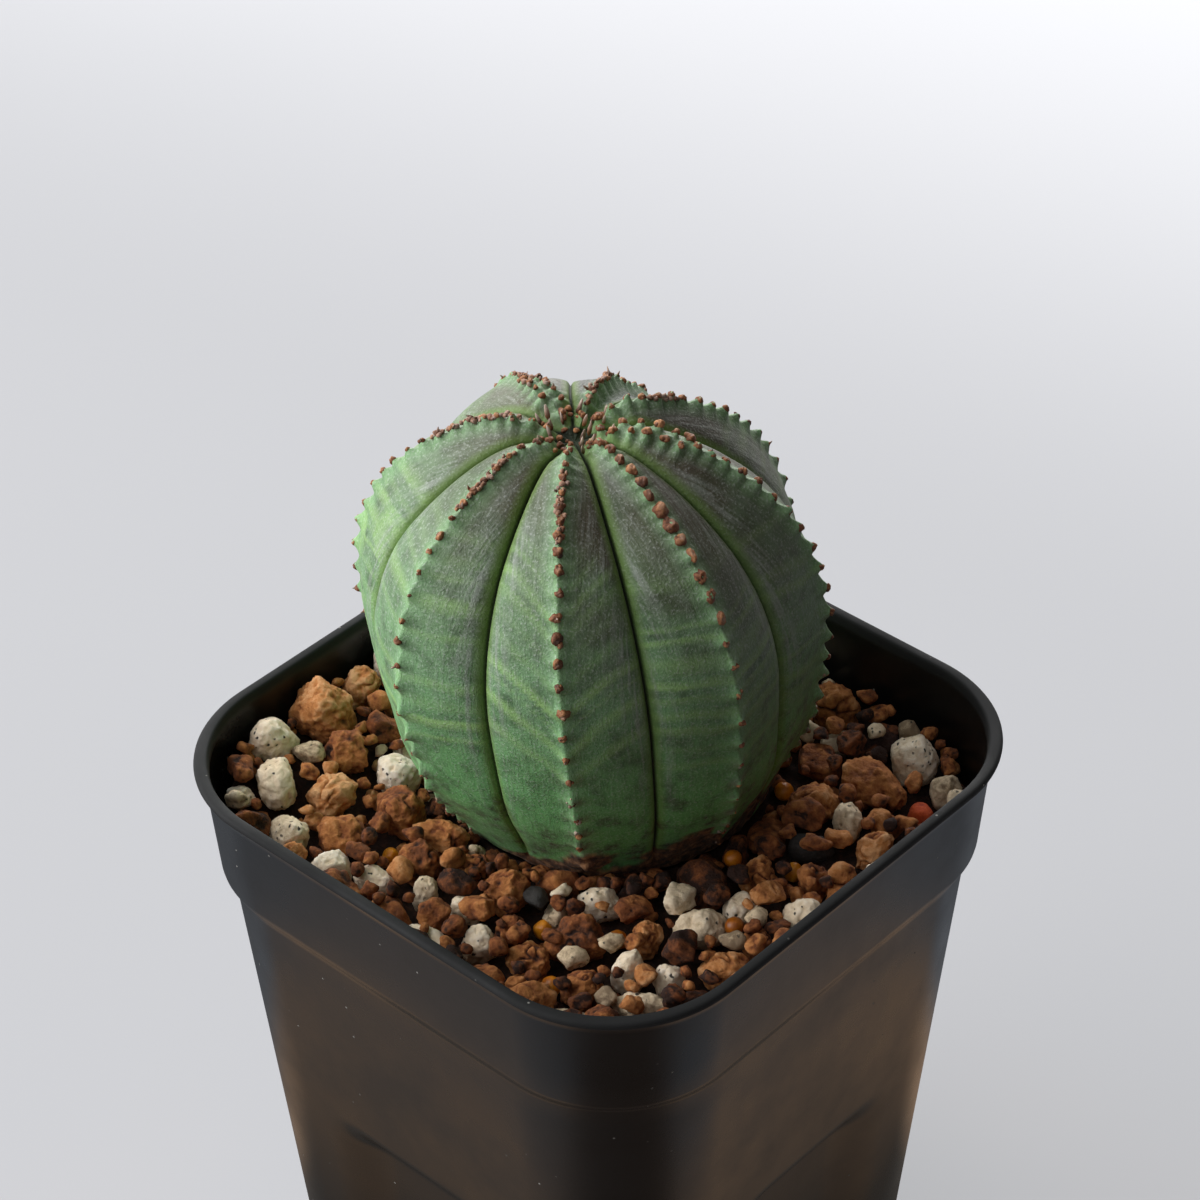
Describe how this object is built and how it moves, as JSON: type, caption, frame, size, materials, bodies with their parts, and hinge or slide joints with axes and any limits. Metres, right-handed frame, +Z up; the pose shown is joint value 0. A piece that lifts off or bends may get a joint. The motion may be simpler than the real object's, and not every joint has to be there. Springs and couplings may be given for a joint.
{
  "type": "potted baseball plant",
  "caption": "Round ribbed succulent with toothed crests, set in loose mineral grit in a tall square plastic nursery pot with a rolled lip.",
  "frame": {"origin": "middle of the pot's underside, on the surface that it stands on", "axes": "+Z up; the pot's four sides face +X, -X, +Y and -Y"},
  "size_m": [0.09, 0.09, 0.1563],
  "materials": {
    "pot": "satin",
    "plant_skin": "satin",
    "soil": "matte",
    "akadama": "matte",
    "pumice": "matte",
    "scoria": "matte",
    "charcoal": "matte",
    "prill": "satin"
  },
  "bodies": {
    "root": {"akadama_01": "akadama", "akadama_02": "akadama", "akadama_03": "akadama", "akadama_04": "akadama", "akadama_05": "akadama", "akadama_06": "akadama", "akadama_07": "akadama", "akadama_08": "akadama", "akadama_09": "akadama", "akadama_10": "akadama", "akadama_11": "akadama", "akadama_12": "akadama", "akadama_13": "akadama", "akadama_14": "akadama", "akadama_15": "akadama", "akadama_16": "akadama", "akadama_17": "akadama", "akadama_18": "akadama", "akadama_19": "akadama", "akadama_20": "akadama", "akadama_21": "akadama", "akadama_22": "akadama", "akadama_23": "akadama", "akadama_24": "akadama", "akadama_25": "akadama", "charcoal_01": "charcoal", "plant": "plant_skin", "pot": "pot", "prill_01": "prill", "prill_02": "prill", "prill_03": "prill", "prill_04": "prill", "prill_05": "prill", "prill_06": "prill", "pumice_01": "pumice", "pumice_02": "pumice", "pumice_03": "pumice", "pumice_04": "pumice", "pumice_05": "pumice", "pumice_06": "pumice", "pumice_07": "pumice", "pumice_08": "pumice", "pumice_09": "pumice", "pumice_10": "pumice", "pumice_11": "pumice", "pumice_12": "pumice", "pumice_13": "pumice", "pumice_14": "pumice", "pumice_15": "pumice", "pumice_16": "pumice", "pumice_17": "pumice", "pumice_18": "pumice", "pumice_19": "pumice", "pumice_20": "pumice", "pumice_21": "pumice", "pumice_22": "pumice", "pumice_23": "pumice", "pumice_24": "pumice", "scoria_01": "scoria", "soil_bed": "soil"}
  },
  "joints": []
}
